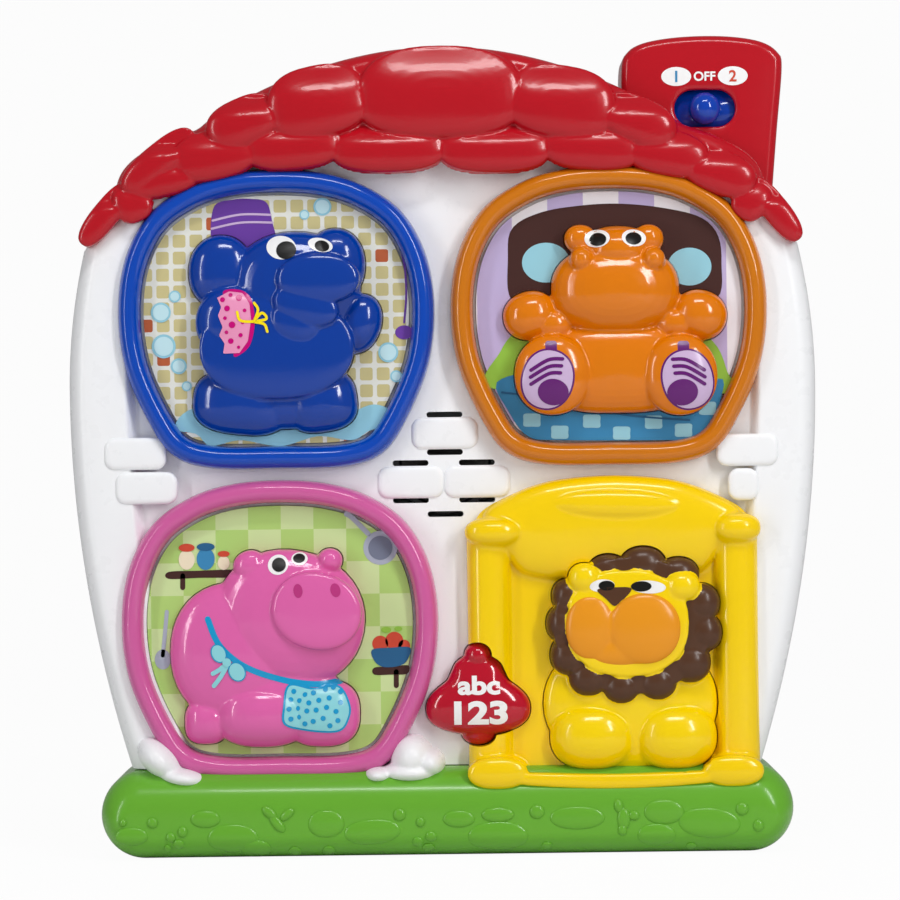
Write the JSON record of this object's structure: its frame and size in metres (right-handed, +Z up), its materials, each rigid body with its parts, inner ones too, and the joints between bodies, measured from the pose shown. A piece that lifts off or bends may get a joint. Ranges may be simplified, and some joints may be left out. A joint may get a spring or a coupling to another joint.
{
  "type": "electronic activity house toy",
  "caption": "Upright toy house whose animals in the windows and door press in to trigger sounds; bell key sets the mode, slide switch in the chimney.",
  "frame": {"origin": "middle of the bounding box's underside, on the floor under the plinth", "axes": "+Z up, +X to the right seen from the front, +Y from the front to the back; the animals face -Y"},
  "size_m": [0.2762, 0.084, 0.3],
  "materials": {
    "green_plastic": "glossy moulded plastic, leaf green",
    "white_plastic": "semi-gloss moulded plastic, white",
    "red_plastic": "glossy moulded plastic, red",
    "yellow_plastic": "glossy moulded plastic, yellow",
    "bell_red_plastic": "glossy moulded plastic, deep red",
    "elephant_blue_plastic": "glossy moulded plastic with painted details, deep blue",
    "hippo_orange_plastic": "glossy moulded plastic with painted details, orange",
    "pig_pink_plastic": "glossy moulded plastic with painted details, pink",
    "lion_yellow_plastic": "glossy moulded plastic with painted details, yellow",
    "blue_plastic": "glossy moulded plastic, deep blue",
    "orange_plastic": "glossy moulded plastic, orange",
    "pink_plastic": "glossy moulded plastic, pink",
    "knob_blue_plastic": "glossy moulded plastic, deep blue",
    "bathroom_print": "printed plastic sheet, warm tiles",
    "bedroom_print": "printed plastic sheet, lilac stripes",
    "kitchen_print": "printed plastic sheet, green tiles",
    "spring_steel": "nickel-plated spring steel",
    "screw_steel": "zinc-plated steel",
    "magnet_steel": "plated speaker magnet",
    "battery_label": "plain dark cell sleeve",
    "circuit_board": "circuit board with solder mask",
    "black_plastic": "moulded black plastic",
    "speaker_paper": "pressed paper cone",
    "pad_rubber": "soft silicone rubber"
  },
  "bodies": {
    "house": {"base_plinth": "green_plastic", "base_underside": "green_plastic", "battery_1": "battery_label", "battery_2": "battery_label", "battery_3": "battery_label", "battery_contacts_left": "spring_steel", "battery_contacts_right": "spring_steel", "case_screw_1": "screw_steel", "case_screw_2": "screw_steel", "case_screw_3": "screw_steel", "case_screw_4": "screw_steel", "case_screw_5": "screw_steel", "case_screw_6": "screw_steel", "chimney": "red_plastic", "chimney_back_plate": "red_plastic", "door_surround": "yellow_plastic", "elephant_contact_board": "circuit_board", "hippo_contact_board": "circuit_board", "pig_contact_board": "circuit_board", "lion_contact_board": "circuit_board", "doorbell_contact_board": "circuit_board", "elephant_return_pad": "pad_rubber", "hippo_return_pad": "pad_rubber", "pig_return_pad": "pad_rubber", "lion_return_pad": "pad_rubber", "doorbell_return_pad": "pad_rubber", "elephant_picture_panel": "bathroom_print", "hippo_picture_panel": "bedroom_print", "pig_picture_panel": "kitchen_print", "elephant_window_frame": "blue_plastic", "hippo_window_frame": "orange_plastic", "pig_window_frame": "pink_plastic", "front_shell": "white_plastic", "rear_cover": "white_plastic", "roof": "red_plastic", "main_circuit_board": "circuit_board", "slide_switch_body": "black_plastic", "speaker_basket": "black_plastic", "speaker_cone": "speaker_paper", "speaker_magnet": "magnet_steel"},
    "elephant_key": {"elephant_button": "elephant_blue_plastic"},
    "hippo_key": {"hippo_button": "hippo_orange_plastic"},
    "pig_key": {"pig_button": "pig_pink_plastic"},
    "lion_key": {"lion_button": "lion_yellow_plastic"},
    "doorbell_key": {"doorbell_button": "bell_red_plastic"},
    "mode_switch": {"switch_knob": "knob_blue_plastic"},
    "battery_lid": {"battery_door": "white_plastic", "battery_door_screw": "screw_steel"}
  },
  "joints": [
    {"name": "elephant_press", "type": "slide", "parent": "house", "child": "elephant_key", "axis": [0, 1, 0], "range_m": [0, 0.003], "stiffness_N_per_m": 300, "deforming": ["elephant_return_pad"]},
    {"name": "hippo_press", "type": "slide", "parent": "house", "child": "hippo_key", "axis": [0, 1, 0], "range_m": [0, 0.003], "stiffness_N_per_m": 300, "deforming": ["hippo_return_pad"]},
    {"name": "pig_press", "type": "slide", "parent": "house", "child": "pig_key", "axis": [0, 1, 0], "range_m": [0, 0.003], "stiffness_N_per_m": 300, "deforming": ["pig_return_pad"]},
    {"name": "lion_press", "type": "slide", "parent": "house", "child": "lion_key", "axis": [0, 1, 0], "range_m": [0, 0.003], "stiffness_N_per_m": 300, "deforming": ["lion_return_pad"]},
    {"name": "doorbell_press", "type": "slide", "parent": "house", "child": "doorbell_key", "axis": [0, 1, 0], "range_m": [0, 0.003], "stiffness_N_per_m": 300, "deforming": ["doorbell_return_pad"]},
    {"name": "switch_slide", "type": "slide", "parent": "house", "child": "mode_switch", "axis": [1, 0, 0], "range_m": [-0.0045, 0.0045]},
    {"name": "battery_lid_lift", "type": "slide", "parent": "house", "child": "battery_lid", "axis": [0, 1, 0], "range_m": [0, 0.012]}
  ]
}
